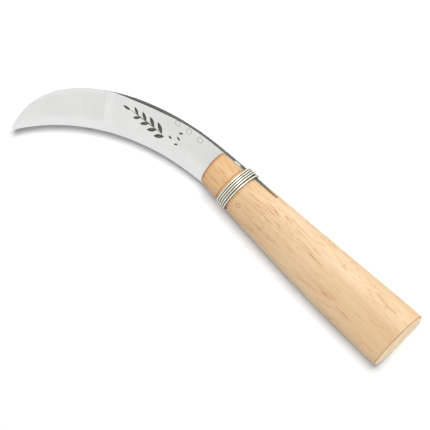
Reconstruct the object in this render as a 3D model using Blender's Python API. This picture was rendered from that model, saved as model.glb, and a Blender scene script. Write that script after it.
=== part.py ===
"""One-hand sickle: a forged crescent blade whose broad tang sits in a saw kerf of a flared wooden handle.

Frame, in metres: the origin is the centre of the handle's sawn butt, +X runs along the handle to the
blade, +Y points to the cutting-edge side, +Z is up from the blade's flat back. The blade lies in the
plane z = 0, in the middle of the handle's thickness.
"""

from math import cos, pi, radians, sin, tan

import bmesh
import bpy
import numpy as np
from mathutils import Matrix, Vector

# ---- Handle ----
HANDLE_LENGTH = 0.1326
BUTT_WIDTH = 0.0356
BUTT_THICKNESS = 0.0191
NECK_WIDTH = 0.0204
NECK_THICKNESS = 0.0174
FLARE_POWER = 1.35          # over 1, the handle widens quickly behind the neck and slowly at the butt
BELLY_BOW = 0.0009          # the belly is fuller than the back by twice this, at mid length
OVAL_POWER = 2.2            # 2 is an ellipse, more is squarer
BUTT_ROUND = 0.0009         # radius of the rim of the sawn end
MOUTH_ROUND = 0.0016        # radius of the rim where the blade comes out
BUTT_SLANT = radians(3.5)   # the saw cuts are a little off square
MOUTH_SLANT = radians(-1.0)

# ---- Blade ----
EDGE_RADIUS = 0.144         # the cutting edge is one arc
EDGE_LENGTH = 0.1252        # along that arc, from the handle's mouth to the tip
BLADE_WIDTH = 0.0223
TIP_POWER = 6.6             # the width falls as 1 - t ** TIP_POWER along the arc
SPINE_THICKNESS = 0.0033
TIP_THICKNESS = 0.0010
TAPER_SPAN = (0.31, 0.66)   # part of the arc over which the spine thins
FACE_FALL = 0.30            # part of the spine's thickness lost by the start of the bevel
BEVEL_WIDTH = 0.0044
MOST_BEVEL = 0.45           # the bevel takes at most this share of the blade's width, near the tip
EDGE_THICKNESS = 0.0003
TIP_BLUNT = 0.0004
BACK_ABOVE_NECK = 0.0003    # how far the blade's back stands off the handle's back at the mouth
HEEL_LENGTH = 0.0038        # the edge drops back to the tang over this length, inside the mouth

# ---- Tang and its kerf ----
TANG_LENGTH = 0.0376        # depth inside the handle
TANG_BACK_RISE = 0.0018     # the tang's back moves out by this over its length, with the handle
TANG_BELLY_INSET = 0.0022   # how far inside the handle's belly the tang's lower side stays
KERF_GAP = 0.0003

# ---- Peg ----
PEG_DIAMETER = 0.0024
PEG_FROM_MOUTH = 0.0260
PEG_OFFSET = 0.0025         # towards the belly from the handle's centre line
PEG_GAP = 0.0002
PEG_RECESS = 0.0001         # its ends lie this far under the wood

# ---- Wire binding ----
WIRE_DIAMETER = 0.0012
WIRE_TURNS = 5
TURN_GAP = 0.00005
WIRE_FROM_MOUTH = 0.0176    # middle of the binding
WIRE_SLANT = radians(6.0)
SEAT_DEPTH = 0.0008         # shallow groove that the wire lies in
SEAT_SIDE = 0.0005          # each side of the groove slopes over this length
WIRE_GAP = 0.0003           # wire to wood
END_BEND = 0.0012           # bend radius of each end, at the wire's middle
END_DEPTH = 0.0024          # straight length of each end inside the wood
END_GAP = 0.0003

# ---- Fineness ----
OVAL_POINTS = 64
BODY_RINGS = 22
ROUND_STEPS = 4
BLADE_STATIONS = 64
TANG_STATIONS = 10
TURN_POINTS = 44
BEND_STEPS = 5
HOLE_SIDES = 32
CUT_BEYOND = 0.004          # a cutter passes the surface by at least this
WOOD_SHARP = radians(30)    # edges that turn by more than this are shaded sharp
STEEL_SHARP = radians(12)

# ---- Values that follow from those above ----
MOUTH_X = HANDLE_LENGTH
TANG_END_X = MOUTH_X - TANG_LENGTH
PEG_X = MOUTH_X - PEG_FROM_MOUTH
WIRE_X = MOUTH_X - WIRE_FROM_MOUTH
WIRE_PITCH = WIRE_DIAMETER + TURN_GAP
SEAT_WIDTH = WIRE_TURNS * WIRE_PITCH + WIRE_DIAMETER + 2 * WIRE_GAP
ARC_START_X = MOUTH_X - 2 * HEEL_LENGTH
ARC_LENGTH = EDGE_LENGTH + 2 * HEEL_LENGTH
FLAT_BACK_Z = -SPINE_THICKNESS / 2


def smooth(t):
    """0 below 0, 1 above 1, and 3t^2 - 2t^3 between."""
    t = min(max(t, 0.0), 1.0)
    return t * t * (3 - 2 * t)


# ---------------------------------------------------------------- handle shape
def half_width(x):
    u = min(max(x / HANDLE_LENGTH, 0.0), 1.0)
    return BUTT_WIDTH / 2 - (BUTT_WIDTH - NECK_WIDTH) / 2 * u**FLARE_POWER


def half_thickness(x):
    u = min(max(x / HANDLE_LENGTH, 0.0), 1.0)
    return BUTT_THICKNESS / 2 - (BUTT_THICKNESS - NECK_THICKNESS) / 2 * u**FLARE_POWER


def centre_y(x):
    return BELLY_BOW * sin(pi * min(max(x / HANDLE_LENGTH, 0.0), 1.0))


def slant_at(x):
    """Slope of a cross-section at x: the butt's and the mouth's cuts and the binding's seat differ."""
    places = (0.0, 0.5 * WIRE_X, WIRE_X - SEAT_WIDTH, WIRE_X + SEAT_WIDTH, HANDLE_LENGTH)
    slopes = (tan(BUTT_SLANT), tan(BUTT_SLANT), tan(WIRE_SLANT), tan(WIRE_SLANT), tan(MOUTH_SLANT))
    return float(np.interp(x, places, slopes))


def oval(x, inset=0.0):
    """The section at x as rows of (y, z): a superellipse, drawn in by inset on every side."""
    angle = np.arange(OVAL_POINTS) * (2 * pi / OVAL_POINTS)
    power = 2 / OVAL_POWER
    across = np.sign(np.cos(angle)) * np.abs(np.cos(angle)) ** power
    up = np.sign(np.sin(angle)) * np.abs(np.sin(angle)) ** power
    y = centre_y(x) + (half_width(x) - inset) * across
    z = (half_thickness(x) - inset) * up
    return np.column_stack([y, z])


def surface_height(x, y):
    """Height of the handle's surface above the middle plane at (x, y)."""
    share = abs((y - centre_y(x)) / half_width(x))
    return half_thickness(x) * (1 - share**OVAL_POWER) ** (1 / OVAL_POWER)


# ---------------------------------------------------------------- blade shape
EDGE_Y = centre_y(MOUTH_X) - half_width(MOUTH_X) - BACK_ABOVE_NECK + BLADE_WIDTH
ARC_CENTRE = Vector((ARC_START_X, EDGE_Y + EDGE_RADIUS))


def edge_frame(s):
    """Point on the cutting edge's line at arc length s, and the unit vector from there to the back."""
    if s <= 0:
        return Vector((ARC_START_X + s, EDGE_Y)), Vector((0.0, -1.0))
    turn = s / EDGE_RADIUS
    out = Vector((sin(turn), -cos(turn)))
    return ARC_CENTRE + EDGE_RADIUS * out, out


def blade_width(s):
    return BLADE_WIDTH * (1 - max(s / ARC_LENGTH, 0.0) ** TIP_POWER)


def spine_thickness(s):
    start, end = TAPER_SPAN
    share = smooth((s / ARC_LENGTH - start) / (end - start))
    return SPINE_THICKNESS - (SPINE_THICKNESS - TIP_THICKNESS) * share


def tang_back_y(x):
    """The tang's back: straight, moving out with the handle."""
    depth = (MOUTH_X - x) / TANG_LENGTH
    return EDGE_Y - BLADE_WIDTH - TANG_BACK_RISE * min(max(depth, 0.0), 1.0)


def tang_belly_y(x):
    return centre_y(x) + half_width(x) - TANG_BELLY_INSET


# ---------------------------------------------------------------- small tools
def collection(name):
    made = bpy.data.collections.new(name)
    bpy.context.scene.collection.children.link(made)
    return made


def material(name, colour, roughness, metallic=0.0):
    made = bpy.data.materials.new(name)
    made.use_nodes = True
    shader = made.node_tree.nodes["Principled BSDF"]
    shader.inputs["Base Color"].default_value = (*colour, 1.0)
    shader.inputs["Roughness"].default_value = roughness
    shader.inputs["Metallic"].default_value = metallic
    made.diffuse_color = (*colour, 1.0)
    return made


def add_object(name, mesh, into, finish=None):
    made = bpy.data.objects.new(name, mesh)
    into.objects.link(made)
    if finish:
        mesh.materials.append(finish)
    return made


def loft(name, rings):
    """A closed mesh through rings of equal point count, with one flat cap at each end."""
    count = len(rings[0])
    shape = bmesh.new()
    rows = [[shape.verts.new(point) for point in ring] for ring in rings]
    for row, following in zip(rows, rows[1:]):
        for i in range(count):
            j = (i + 1) % count
            shape.faces.new((row[i], row[j], following[j], following[i]))
    shape.faces.new(list(reversed(rows[0])))
    shape.faces.new(rows[-1])
    bmesh.ops.recalc_face_normals(shape, faces=shape.faces)
    mesh = bpy.data.meshes.new(name)
    shape.to_mesh(mesh)
    shape.free()
    return mesh


def round_off(mesh, angle=WOOD_SHARP):
    mesh.shade_smooth()
    mesh.set_sharp_from_angle(angle=angle)


def rod(name, diameter, low, high, into, finish=None):
    """A cylinder along Z, from the point low up to the height high."""
    shape = bmesh.new()
    height = high - low[2]
    middle = Matrix.Translation((low[0], low[1], low[2] + height / 2))
    bmesh.ops.create_cone(
        shape, cap_ends=True, segments=HOLE_SIDES, radius1=diameter / 2, radius2=diameter / 2,
        depth=height, matrix=middle)
    mesh = bpy.data.meshes.new(name)
    shape.to_mesh(mesh)
    shape.free()
    round_off(mesh)
    return add_object(name, mesh, into, finish)


def block(name, low, high, into):
    shape = bmesh.new()
    size = [b - a for a, b in zip(low, high)]
    middle = [(a + b) / 2 for a, b in zip(low, high)]
    place = Matrix.Translation(middle) @ Matrix.Diagonal((*size, 1.0))
    bmesh.ops.create_cube(shape, size=1.0, matrix=place)
    mesh = bpy.data.meshes.new(name)
    shape.to_mesh(mesh)
    shape.free()
    return add_object(name, mesh, into)


def cut(target, *tools):
    for tool in tools:
        tool.hide_render = True
        tool.display_type = "WIRE"
        boolean = target.modifiers.new(f"cut {tool.name}", "BOOLEAN")
        boolean.operation = "DIFFERENCE"
        boolean.solver = "EXACT"
        boolean.object = tool


# ---------------------------------------------------------------- the pieces
def handle_stations():
    """Pairs of (x, inset) along the handle: the rims' quarter rounds, the body and the wire's seat."""
    quarter = [pi / 2 * k / ROUND_STEPS for k in range(ROUND_STEPS + 1)]
    butt = [(BUTT_ROUND * (1 - sin(q)), BUTT_ROUND * (1 - cos(q))) for q in reversed(quarter)]
    mouth = [(MOUTH_X - MOUTH_ROUND * (1 - sin(q)), MOUTH_ROUND * (1 - cos(q))) for q in quarter]
    low, high = WIRE_X - SEAT_WIDTH / 2, WIRE_X + SEAT_WIDTH / 2
    seat = [(low - SEAT_SIDE, 0.0), (low, SEAT_DEPTH), (high, SEAT_DEPTH), (high + SEAT_SIDE, 0.0)]
    body = np.linspace(BUTT_ROUND, MOUTH_X - MOUTH_ROUND, BODY_RINGS)[1:-1]
    keep = SEAT_SIDE + WIRE_PITCH
    plain = [(float(x), 0.0) for x in body if not low - keep < x < high + keep]
    return butt + sorted(plain + seat) + mouth


def make_handle(into, cutters, finish):
    rings = []
    for x, inset in handle_stations():
        slope = slant_at(x)
        rings.append([(x + slope * y, y, z) for y, z in oval(x, inset)])
    mesh = loft("handle", rings)
    round_off(mesh)
    handle = add_object("handle", mesh, into, finish)
    reach = BUTT_WIDTH + CUT_BEYOND
    half = SPINE_THICKNESS / 2 + KERF_GAP
    kerf = block(
        "kerf", (TANG_END_X - KERF_GAP, -reach, -half), (MOUTH_X + reach, reach, half), cutters)
    peg_top = half_thickness(PEG_X) + CUT_BEYOND
    peg_hole = rod(
        "peg hole", PEG_DIAMETER + 2 * PEG_GAP, (PEG_X, PEG_OFFSET, -peg_top), peg_top, cutters)
    ends = [
        rod(f"wire end hole {i + 1}", WIRE_DIAMETER + 2 * END_GAP,
            (x, y, z - CUT_BEYOND), z + END_BEND + END_DEPTH + END_GAP, cutters)
        for i, (x, y, z) in enumerate(wire_end_places())]
    cut(handle, kerf, peg_hole, *ends)
    return handle


def blade_section(s):
    """The five corners of the blade at arc length s, as rows of (x, y, z)."""
    point, out = edge_frame(s)
    x = point.x
    inside = smooth((MOUTH_X - x) / HEEL_LENGTH) if s < 2 * HEEL_LENGTH else 0.0
    back = blade_width(s)
    drop = 0.0
    if x < MOUTH_X:
        back = EDGE_Y - tang_back_y(x)
        drop = inside * (EDGE_Y - tang_belly_y(x))
    thick = spine_thickness(s)
    ground = 1 - smooth((MOUTH_X - x) / HEEL_LENGTH) if x < MOUTH_X else 1.0
    face = thick * (1 - FACE_FALL * ground)
    edge = thick + (EDGE_THICKNESS - thick) * ground
    bevel = min(BEVEL_WIDTH, MOST_BEVEL * (back - drop))
    corners = (
        (back, 0.0), (back, thick), (drop + bevel, face), (drop, edge), (drop, 0.0))
    return [(*(point + out * across), FLAT_BACK_Z + up) for across, up in corners]


def make_blade(into, cutters, finish):
    tang = np.linspace(TANG_END_X - ARC_START_X, 0.0, TANG_STATIONS)
    crescent = np.linspace(0.0, ARC_LENGTH - TIP_BLUNT, BLADE_STATIONS)
    # The heel bends within a short length, so it gets stations of its own.
    heel = np.linspace(0.0, 2 * HEEL_LENGTH, TANG_STATIONS)
    stations = sorted({round(float(s), 7) for s in (*tang, *crescent, *heel)})
    mesh = loft("blade", [blade_section(s) for s in stations])
    round_off(mesh, STEEL_SHARP)
    blade = add_object("blade", mesh, into, finish)
    top = SPINE_THICKNESS + CUT_BEYOND
    cut(blade, rod(
        "tang hole", PEG_DIAMETER + 2 * PEG_GAP, (PEG_X, PEG_OFFSET, -top), top, cutters))
    return blade


def make_peg(into, finish):
    reach = PEG_DIAMETER / 2
    height = min(surface_height(PEG_X + dx, PEG_OFFSET + dy)
                 for dx in (-reach, reach) for dy in (-reach, reach)) - PEG_RECESS
    return rod("tang_peg", PEG_DIAMETER, (PEG_X, PEG_OFFSET, -height), height, into, finish)


def wire_loop(x, angle):
    """(y, z) of the wire's middle at x, where its outward direction is at this angle.

    The wire is pulled tight round the seat and the tang's back, so it follows the hull of both: the
    point is the hull's farthest one in that direction, moved out by the gap and the wire's radius.
    """
    half = SPINE_THICKNESS / 2
    back = tang_back_y(x)
    hull = np.vstack([oval(x, SEAT_DEPTH), [(back, -half), (back, half)]])
    out = np.array([cos(angle), sin(angle)])
    farthest = hull[np.argmax(hull @ out)]
    return farthest + out * (WIRE_GAP + WIRE_DIAMETER / 2)


def helix_point(turn):
    """Point of the binding after this many turns. It starts and ends under the handle."""
    x = WIRE_X + WIRE_PITCH * (turn - WIRE_TURNS / 2)
    y, z = wire_loop(x, -pi / 2 + 2 * pi * turn)
    return Vector((x + tan(WIRE_SLANT) * y, y, z))


def end_bend(place, heading):
    """Points that carry the wire from place, along heading in Y, round into the wood and straight in."""
    bend = [
        place + Vector((0.0, heading * END_BEND * sin(q), END_BEND * (1 - cos(q))))
        for q in (pi / 2 * k / BEND_STEPS for k in range(1, BEND_STEPS + 1))]
    return bend + [bend[-1] + Vector((0.0, 0.0, END_DEPTH))]


def wire_end_places():
    """Middle of each end hole at the level of the wire: the first turn's end, then the last one's."""
    first, last = helix_point(0), helix_point(WIRE_TURNS)
    return [first - Vector((0.0, END_BEND, 0.0)), last + Vector((0.0, END_BEND, 0.0))]


def make_wire(into, finish):
    turns = [helix_point(k / TURN_POINTS) for k in range(WIRE_TURNS * TURN_POINTS + 1)]
    points = end_bend(turns[0], -1)[::-1] + turns + end_bend(turns[-1], 1)
    curve = bpy.data.curves.new("wire_binding", "CURVE")
    curve.dimensions = "3D"
    curve.bevel_depth = WIRE_DIAMETER / 2
    curve.bevel_resolution = 2
    curve.use_fill_caps = True
    spline = curve.splines.new("POLY")
    spline.points.add(len(points) - 1)
    spline.points.foreach_set("co", [value for p in points for value in (*p, 1.0)])
    return add_object("wire_binding", curve, into, finish)


def main():
    for old in list(bpy.data.objects):
        bpy.data.objects.remove(old)
    parts = collection("hand sickle")
    cutters = collection("cutters")
    wood = material("handle wood", (0.80, 0.60, 0.38), 0.55)
    steel = material("forged steel", (0.62, 0.63, 0.62), 0.35, 1.0)
    tin = material("bright wire", (0.75, 0.75, 0.70), 0.25, 1.0)
    bamboo = material("peg wood", (0.70, 0.48, 0.28), 0.6)
    make_handle(parts, cutters, wood)
    make_blade(parts, cutters, steel)
    make_wire(parts, tin)
    make_peg(parts, bamboo)


main()
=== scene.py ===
# %% [markdown]
# # A one-hand sickle, piece by piece
#
# The tool is four pieces: a forged crescent blade, a flared wooden handle that is sawn open at its neck, a
# binding of tinned wire that squeezes the wood onto the blade's tang, and a small peg through wood and
# tang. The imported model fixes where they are. Here each one is made again as a fine surface with its real
# finish. All lengths are in metres: +X runs from the butt to the blade, +Y points to the cutting edge, +Z
# is up.

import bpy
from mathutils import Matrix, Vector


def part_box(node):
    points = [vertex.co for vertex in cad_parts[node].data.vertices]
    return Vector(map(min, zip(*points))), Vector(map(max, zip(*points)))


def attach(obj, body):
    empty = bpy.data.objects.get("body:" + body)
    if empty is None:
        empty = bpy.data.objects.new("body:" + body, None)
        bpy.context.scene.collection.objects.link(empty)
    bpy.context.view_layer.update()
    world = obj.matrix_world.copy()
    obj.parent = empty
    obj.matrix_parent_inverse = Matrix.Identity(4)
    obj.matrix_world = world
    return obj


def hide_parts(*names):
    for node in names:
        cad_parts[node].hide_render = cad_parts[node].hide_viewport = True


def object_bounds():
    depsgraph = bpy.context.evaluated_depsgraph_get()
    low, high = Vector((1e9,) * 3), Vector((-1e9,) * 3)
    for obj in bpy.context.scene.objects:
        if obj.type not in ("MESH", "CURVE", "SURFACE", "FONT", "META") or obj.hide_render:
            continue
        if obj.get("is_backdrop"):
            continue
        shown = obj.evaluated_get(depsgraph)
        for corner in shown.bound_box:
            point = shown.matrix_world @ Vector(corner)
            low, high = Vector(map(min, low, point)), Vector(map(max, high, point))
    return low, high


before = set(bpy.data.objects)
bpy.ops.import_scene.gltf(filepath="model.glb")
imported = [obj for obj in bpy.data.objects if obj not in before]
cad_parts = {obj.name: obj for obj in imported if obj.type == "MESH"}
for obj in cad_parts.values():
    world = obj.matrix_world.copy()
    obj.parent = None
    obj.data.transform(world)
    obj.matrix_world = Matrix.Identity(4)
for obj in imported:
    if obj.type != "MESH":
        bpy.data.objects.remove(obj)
cad_low, cad_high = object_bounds()
print("packed nodes:", sorted(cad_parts))
print("packed size in mm:", [round(1000 * (high - low), 1) for low, high in zip(cad_low, cad_high)])

# %% The other tools
from math import cos, pi, radians, sin, tan

import bmesh
import bpy
import numpy as np
from mathutils import Matrix, Vector

MM = 0.001
print("Blender", bpy.app.version_string, "and numpy", np.__version__)

# %% [markdown]
# ## The handle's form
#
# A turner would call this shape a flared oval: every cross-section is a superellipse, a little squarer
# than an ellipse, and its two half axes grow from the neck to the butt along a power curve. A lathe
# profile can't give an oval, and a subdivision cage would only come near the measured widths, so the form
# is written as formulas and sampled finely. The belly is fuller than the back, as a hand likes it.

# %% Handle sizes and section formulas
HANDLE_LENGTH = 132.6 * MM
BUTT_WIDTH = 35.6 * MM
BUTT_THICKNESS = 19.1 * MM
NECK_WIDTH = 20.4 * MM
NECK_THICKNESS = 17.4 * MM
FLARE_POWER = 1.35
BELLY_BOW = 0.9 * MM
OVAL_POWER = 2.2


def along(x):
    """Share of the handle's length at x, from 0 at the butt to 1 at the mouth."""
    return np.clip(np.asarray(x, float) / HANDLE_LENGTH, 0, 1)


def half_width(x):
    """Half the width: half the butt's, less the flare times the share of the length to a power."""
    return BUTT_WIDTH / 2 - (BUTT_WIDTH - NECK_WIDTH) / 2 * along(x) ** FLARE_POWER


def half_thickness(x):
    """Half the thickness, by the same rule as the width."""
    return BUTT_THICKNESS / 2 - (BUTT_THICKNESS - NECK_THICKNESS) / 2 * along(x) ** FLARE_POWER


def centre_y(x):
    """The middle line bows to the belly by half a sine wave."""
    return BELLY_BOW * np.sin(pi * along(x))


def oval(x, angle, inset=0.0):
    """(y, z) on the section at x: half axes times cosine and sine, each to the power 2 over OVAL_POWER."""
    across, up = np.cos(angle), np.sin(angle)
    power = 2 / OVAL_POWER
    y = centre_y(x) + (half_width(x) - inset) * np.sign(across) * np.abs(across) ** power
    z = (half_thickness(x) - inset) * np.sign(up) * np.abs(up) ** power
    return y, z


wood_low, wood_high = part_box("handle")
print("handle is", round((wood_high.x - wood_low.x) / MM, 1), "mm long in the packed model")
print("widest half section:", np.round(half_width(0) / MM, 2), "mm, packed", round(wood_high.y / MM, 2), "mm")

# %% [markdown]
# ## Putting a surface into a mesh
#
# Every piece is a grid of points: rows along the piece, columns around it. The quads between the points
# follow from counting alone, so one small function gives them for a whole grid. Blender takes the arrays
# as they are.

# %% Grids and meshes
def grid_quads(rows, columns, closed=True):
    """Corner numbers of the quads of a grid whose points are numbered row by row."""
    row = np.arange(rows - 1)[:, None] * columns
    column = np.arange(columns if closed else columns - 1)[None, :]
    following = (column + 1) % columns
    corners = [row + column, row + following, row + columns + following, row + columns + column]
    return np.stack(corners, axis=-1).reshape(-1, 4)


def shade(mesh, sharp):
    """Smooth shading, with a crisp line where two faces meet at more than this many degrees."""
    mesh.shade_smooth()
    mesh.set_sharp_from_angle(angle=radians(sharp))


def make_piece(name, points, quads, caps=(), sharp=30, merge=0.0):
    """A closed mesh object: points as an (n, 3) array, quads as (m, 4), caps as lists of corners.

    Points that no face uses are left out. Points nearer to each other than merge become one.
    """
    faces = quads.tolist() + [list(cap) for cap in caps]
    used = np.unique(np.concatenate([np.ravel(face) for face in (quads, *caps)]))
    renumber = np.zeros(len(points), int)
    renumber[used] = np.arange(len(used))
    mesh = bpy.data.meshes.new(name)
    mesh.from_pydata(points[used].tolist(), [], [renumber[face].tolist() for face in faces])
    shape = bmesh.new()
    shape.from_mesh(mesh)
    if merge:
        bmesh.ops.remove_doubles(shape, verts=shape.verts, dist=merge)
    bmesh.ops.recalc_face_normals(shape, faces=shape.faces)
    shape.to_mesh(mesh)
    shape.free()
    shade(mesh, sharp)
    piece = bpy.data.objects.new(name, mesh)
    bpy.context.scene.collection.objects.link(piece)
    print(f"{name}: {len(mesh.vertices)} points, {len(mesh.polygons)} faces")
    return piece


print("a closed grid of 3 rows and 4 columns has", len(grid_quads(3, 4)), "quads")

# %% [markdown]
# ## The handle's surface
#
# The wood is one block with a saw kerf that runs in from the mouth, right through from back to belly. In
# front of the kerf's end the section is therefore two D shapes, one above and one below. A Boolean could
# saw it, but long thin cuts leave ragged shading. Instead the columns of the grid are laid so that four of
# them run exactly along the kerf's lips. Behind the kerf's end all columns are joined up. In front of it
# the narrow bands between the lips are left out, and flat walls close each half.

# %% Kerf, seat and rims
SPINE_THICKNESS = 3.3 * MM
KERF_GAP = 0.3 * MM
TANG_LENGTH = 37.6 * MM
MOUTH_X = HANDLE_LENGTH
KERF_END_X = MOUTH_X - TANG_LENGTH - KERF_GAP
KERF_HALF = SPINE_THICKNESS / 2 + KERF_GAP
BUTT_ROUND = 0.9 * MM
MOUTH_ROUND = 1.6 * MM
WIRE_DIAMETER = 1.2 * MM
WIRE_TURNS = 5
TURN_GAP = 0.05 * MM
WIRE_PITCH = WIRE_DIAMETER + TURN_GAP
WIRE_GAP = 0.3 * MM
WIRE_FROM_MOUTH = 17.6 * MM     # to the middle of the binding
WIRE_X = MOUTH_X - WIRE_FROM_MOUTH
WIRE_SLANT = radians(6.0)
SEAT_DEPTH = 0.8 * MM
SEAT_SIDE = 0.5 * MM
SEAT_HALF = (WIRE_TURNS * WIRE_PITCH + WIRE_DIAMETER) / 2 + WIRE_GAP
BUTT_SLANT = radians(3.5)
MOUTH_SLANT = radians(-1.0)


def smooth(t):
    """0 below 0, 1 above 1, and three t squared less two t cubed between."""
    t = np.clip(t, 0, 1)
    return t * t * (3 - 2 * t)


def slant_at(x):
    """Slope of a cross-section at x: the sawn butt, the kerf's end, the wire's seat and the mouth differ."""
    places = (0, 0.3 * HANDLE_LENGTH, KERF_END_X, WIRE_X - 2 * SEAT_HALF, WIRE_X + 2 * SEAT_HALF, MOUTH_X)
    slopes = [tan(angle) for angle in (BUTT_SLANT, BUTT_SLANT, 0, WIRE_SLANT, WIRE_SLANT, MOUTH_SLANT)]
    return np.interp(x, places, slopes)


def quarter_round(end, radius, steps, direction):
    """A rounded rim between the body and end, as pairs (x, inset).

    x lies radius times (1 less the sine) from the end, and inset is radius times (1 less the cosine).
    """
    turn = np.linspace(0, pi / 2, steps)
    return np.column_stack([end + direction * radius * (1 - np.sin(turn)), radius * (1 - np.cos(turn))])


BUTT_ROWS, MOUTH_ROWS = 8, 10       # over the rounded rims
SIDE_ROWS, SEAT_ROWS = 7, 12        # over each side and over the floor of the wire's seat
BODY_ROWS, NECK_ROWS = 110, 20      # over the body, and on each side of the seat


def handle_rows():
    """All stations along the handle as an array of (x, inset), from the butt to the mouth."""
    butt = quarter_round(0, BUTT_ROUND, BUTT_ROWS, 1)
    mouth = quarter_round(MOUTH_X, MOUTH_ROUND, MOUTH_ROWS, -1)
    low, high = WIRE_X - SEAT_HALF, WIRE_X + SEAT_HALF
    ease = np.linspace(0, 1, SIDE_ROWS)
    fall = SEAT_DEPTH * smooth(ease)
    seat_floor = np.linspace(low, high, SEAT_ROWS)[1:-1]
    seat = np.vstack([
        np.column_stack([low - SEAT_SIDE + SEAT_SIDE * ease, fall]),
        np.column_stack([seat_floor, np.full(len(seat_floor), SEAT_DEPTH)]),
        np.column_stack([high + SEAT_SIDE * ease, fall[::-1]])])
    body = np.concatenate([
        np.linspace(BUTT_ROUND, KERF_END_X, BODY_ROWS)[1:],
        np.linspace(KERF_END_X, low - SEAT_SIDE, NECK_ROWS)[1:-1],
        np.linspace(high + SEAT_SIDE, MOUTH_X - MOUTH_ROUND, NECK_ROWS)[1:-1]])
    rows = np.vstack([butt, np.column_stack([body, np.zeros(len(body))]), seat, mouth])
    return rows[np.argsort(rows[:, 0], kind="stable")]


print("kerf runs in from x =", round(KERF_END_X / MM, 1), "to the mouth at", round(MOUTH_X / MM, 1), "mm")

# %% Build the handle
LOBE = 90       # columns over each half of the wood
BAND = 5        # columns between the lips, on each side


def handle_points(rows):
    """(rows, columns, 3) points. The angles run over the top, down the back band, under, and up again."""
    x, inset = rows[:, :1], rows[:, 1:]
    thick = half_thickness(x) - inset
    lip = np.arcsin((KERF_HALF / thick) ** (OVAL_POWER / 2))
    share = np.linspace(0, 1, LOBE)[None, :]
    between = np.linspace(-1, 1, BAND + 2)[None, 1:-1]
    angle = np.hstack([
        lip + (pi - 2 * lip) * share, pi + lip * between,
        pi + lip + (pi - 2 * lip) * share, 2 * pi + lip * between])
    y, z = oval(x, angle, inset)
    return np.stack([x + slant_at(x) * y, y, z], axis=-1)


def build_handle():
    """A whole oval up to the kerf's end, and two D-shaped halves from there to the mouth, with flat walls."""
    rows = handle_rows()
    columns = 2 * (LOBE + BAND)
    points = handle_points(rows).reshape(-1, 3)
    last = len(rows) - 1
    end_row = int(np.argmin(np.abs(rows[:, 0] - KERF_END_X)))
    top = np.arange(LOBE)
    back_band = np.arange(LOBE, LOBE + BAND)
    under = top + LOBE + BAND
    belly_band = back_band + LOBE + BAND
    solid = grid_quads(end_row + 1, columns)
    open_rows = grid_quads(last - end_row + 1, columns) + end_row * columns
    side = open_rows[:, 0] % columns
    keep = np.isin(side, top[:-1]) | np.isin(side, under[:-1])
    row = (np.arange(end_row, last) * columns)[:, None]
    walls = np.vstack([
        row + np.array([[lips[1], lips[0], lips[0] + columns, lips[1] + columns]])
        for lips in ((top[0], top[-1]), (under[0], under[-1]))])
    end_wall = end_row * columns + np.concatenate([
        top[-1:], back_band, under[:1], under[-1:], belly_band, top[:1]])
    caps = [np.arange(columns), end_wall, last * columns + top, last * columns + under]
    return make_piece("wood_handle", points, np.vstack([solid, open_rows[keep], walls]), caps)


handle = build_handle()
print("wood_handle has", len(handle_rows()), "rows of", 2 * (LOBE + BAND), "points")

# %% [markdown]
# ## Drilled holes
#
# The peg goes through a drilled hole, and each end of the wire is poked into one. A drill is a plain
# cylinder, so here a Boolean is the honest tool. It is applied at once, so that the piece keeps no live
# modifier.

# %% Drill
PEG_FROM_MOUTH = 26.0 * MM
PEG_X = MOUTH_X - PEG_FROM_MOUTH
PEG_Y = 2.5 * MM
PEG_HOLE = 2.8 * MM
DRILL_SIDES = 48
THROUGH_WOOD = 20 * MM      # from the middle plane, well past the surface
THROUGH_STEEL = 10 * MM


def drill(piece, x, y, low, high, diameter, sharp=30):
    """Cuts a vertical round hole from the height low to the height high and applies the cut."""
    turn = np.linspace(0, 2 * pi, DRILL_SIDES, endpoint=False)
    circle = np.column_stack([x + diameter / 2 * np.cos(turn), y + diameter / 2 * np.sin(turn)])
    points = np.vstack([np.column_stack([circle, np.full(DRILL_SIDES, z)]) for z in (low, high)])
    caps = [np.arange(DRILL_SIDES)[::-1], np.arange(DRILL_SIDES, 2 * DRILL_SIDES)]
    bit = make_piece("drill bit", points, grid_quads(2, DRILL_SIDES), caps)
    modifier = piece.modifiers.new("drill", "BOOLEAN")
    modifier.operation = "DIFFERENCE"
    modifier.solver = "EXACT"
    modifier.object = bit
    drilled = bpy.data.meshes.new_from_object(piece.evaluated_get(bpy.context.evaluated_depsgraph_get()))
    piece.modifiers.clear()
    piece.data, old = drilled, piece.data
    drilled.name = piece.name
    shade(drilled, sharp)
    bpy.data.meshes.remove(old)
    bpy.data.meshes.remove(bit.data)


drill(handle, PEG_X, PEG_Y, -THROUGH_WOOD, THROUGH_WOOD, PEG_HOLE)

# %% [markdown]
# ## The wire binding
#
# Soft wire pulled tight takes the shortest way round, so it doesn't sink into hollows: it follows the hull
# of what it goes round, which is the wood in its seat and the tang's square back. The hull's farthest
# point in each direction, moved out by half a wire and a hair, gives the loop. Five loops side by side
# make the helix. The turn nearest the butt has slipped a little on the back, which opens a thin wedge
# beside it.

# %% The wire's path
ARC_START_BEHIND_MOUTH = 7.6 * MM
ARC_START_X = MOUTH_X - ARC_START_BEHIND_MOUTH
EDGE_RADIUS = 144 * MM
BLADE_WIDTH = 22.3 * MM
BACK_ABOVE_NECK = 0.3 * MM
EDGE_Y = float(-half_width(MOUTH_X)) - BACK_ABOVE_NECK + BLADE_WIDTH
TANG_BACK_RISE = 1.8 * MM
TANG_DIP = 1.0 * MM
TANG_DIP_FROM = 0.52        # share of the tang's length at which the dip begins
WIRE_OFF_WOOD = 0.1 * MM
TURN_STEPS = 120
HULL_STEPS = 720
END_BEND = 1.2 * MM
END_DEPTH = 2.4 * MM
BEND_STEPS = 8
SLIP = 0.75 * MM


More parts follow.
